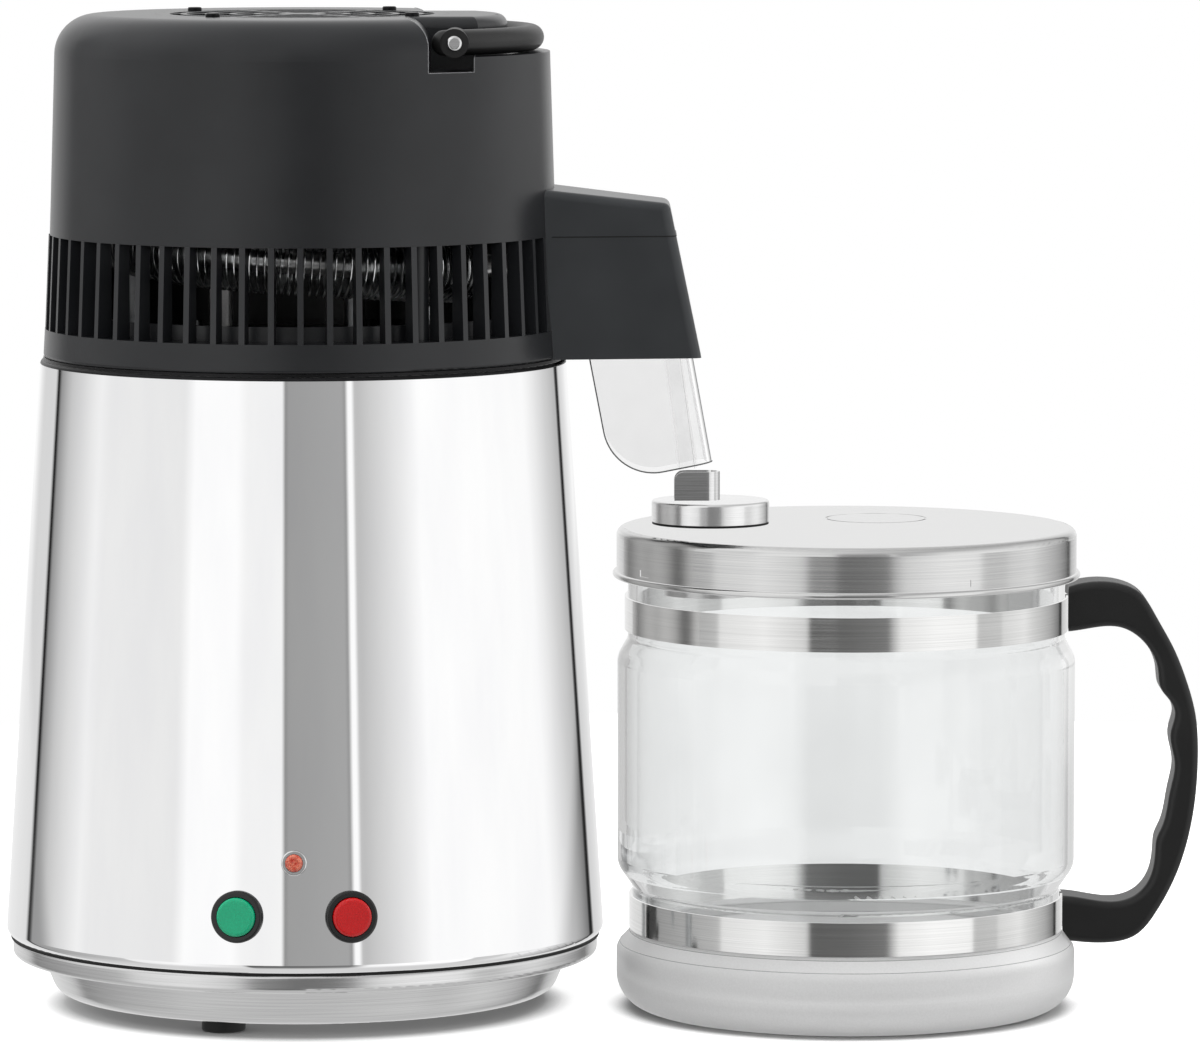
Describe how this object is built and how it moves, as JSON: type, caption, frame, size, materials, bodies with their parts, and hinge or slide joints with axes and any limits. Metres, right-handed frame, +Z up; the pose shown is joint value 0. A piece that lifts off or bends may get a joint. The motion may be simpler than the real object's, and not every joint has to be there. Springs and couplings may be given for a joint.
{
  "type": "countertop water distiller",
  "caption": "Countertop water distiller: tapered steel boiler, vented condenser head with a folding handle and spout, and a handled glass carafe with a filter in its lid.",
  "frame": {"origin": "on the floor, midway along the whole set and level with the boiler's axis front to back", "axes": "+Z up, +X from the boiler towards the carafe's handle, -Y towards the side with the buttons"},
  "size_m": [0.441, 0.2238, 0.3684],
  "materials": {
    "polished_steel": "mirror polish",
    "brushed_steel": "brushed",
    "plain_steel": "plain",
    "fin_aluminium": "plain",
    "pin_brass": "plain",
    "charcoal_plastic": "satin",
    "black_plastic": "satin",
    "clear_plastic": "clear",
    "green_plastic": "glossy",
    "red_plastic": "glossy",
    "lamp_plastic": "translucent",
    "black_rubber": "matt",
    "white_silicone": "matt",
    "jar_glass": "clear, foot frosted",
    "charcoal_sachet": "matt"
  },
  "bodies": {
    "boiler": {"base_pan": "brushed_steel", "rubber_feet": "black_rubber", "foot_screws": "plain_steel", "base_seal": "black_rubber", "outer_shell": "polished_steel", "pot_floor": "brushed_steel", "boiling_pot": "brushed_steel", "pot_rim": "brushed_steel", "heater_plate": "fin_aluminium", "heating_element": "plain_steel", "boil_dry_thermostat": "plain_steel", "heat_shield": "plain_steel", "tie_rods": "plain_steel", "terminal_block": "black_plastic", "start_switch": "black_plastic", "stop_switch": "black_plastic", "switch_nuts": "plain_steel", "pilot_bezel": "brushed_steel", "pilot_lens": "lamp_plastic", "mains_inlet": "black_plastic", "inlet_pins": "pin_brass", "fan_outlet": "black_plastic"},
    "head": {"upper_housing": "charcoal_plastic", "lower_housing": "charcoal_plastic", "fan_guard": "charcoal_plastic", "guard_screws": "plain_steel", "motor_bracket": "plain_steel", "fan_motor": "plain_steel", "motor_bearings": "plain_steel", "motor_screws": "plain_steel", "condenser_coil": "plain_steel", "condenser_fins": "fin_aluminium", "coil_supports": "plain_steel", "outlet_tube": "clear_plastic", "chamber_lid": "brushed_steel", "chamber_gasket": "white_silicone", "lid_screws": "plain_steel", "housing_screws": "plain_steel", "spout_shield": "clear_plastic", "fan_lead_gland": "black_rubber", "handle_screws": "plain_steel"},
    "fan": {"fan_impeller": "black_plastic", "fan_shaft": "plain_steel"},
    "carry_handle": {"carry_handle": "charcoal_plastic"},
    "start_button": {"start_button": "green_plastic"},
    "stop_button": {"stop_button": "red_plastic"},
    "carafe": {"glass_jar": "jar_glass", "upper_band": "brushed_steel", "lower_band": "brushed_steel", "carafe_handle": "black_plastic", "band_screws": "plain_steel"},
    "carafe_lid": {"jar_lid": "brushed_steel", "lid_gasket": "white_silicone"},
    "filter_insert": {"filter_seal": "black_rubber", "filter_basket": "brushed_steel", "filter_cap": "brushed_steel", "spout_guide": "brushed_steel", "charcoal_pod": "charcoal_sachet"}
  },
  "joints": [
    {"name": "head_lift", "type": "slide", "parent": "boiler", "child": "head", "axis": [0, 0, 1], "range_m": [0, 0.15]},
    {"name": "fan_spin", "type": "hinge", "parent": "head", "child": "fan", "pos_m": [-0.1096, 0, 0.328], "axis": [0, 0, 1], "continuous": true},
    {"name": "handle_fold", "type": "hinge", "parent": "head", "child": "carry_handle", "pos_m": [-0.0524, 0, 0.3584], "axis": [0, -1, 0], "range_deg": [0, 85]},
    {"name": "start_press", "type": "slide", "parent": "boiler", "child": "start_button", "axis": [0.1856, 0.9804, -0.0654], "range_m": [0, 0.0025], "stiffness_N_per_m": 500, "springref_m": -0.001},
    {"name": "stop_press", "type": "slide", "parent": "boiler", "child": "stop_button", "axis": [-0.1856, 0.9804, -0.0654], "range_m": [0, 0.0025], "stiffness_N_per_m": 500, "springref_m": -0.001},
    {"name": "carafe_slide", "type": "slide", "parent": "boiler", "child": "carafe", "axis": [1, 0, 0], "range_m": [0, 0.3]},
    {"name": "lid_twist", "type": "hinge", "parent": "carafe", "child": "carafe_lid", "pos_m": [0.0909, -0.012, 0.1732], "axis": [0, 0, 1], "range_deg": [0, 50]},
    {"name": "filter_turn", "type": "hinge", "parent": "carafe_lid", "child": "filter_insert", "pos_m": [0.0409, 0, 0.1792], "axis": [0, 0, 1], "range_deg": [0, 90]}
  ]
}
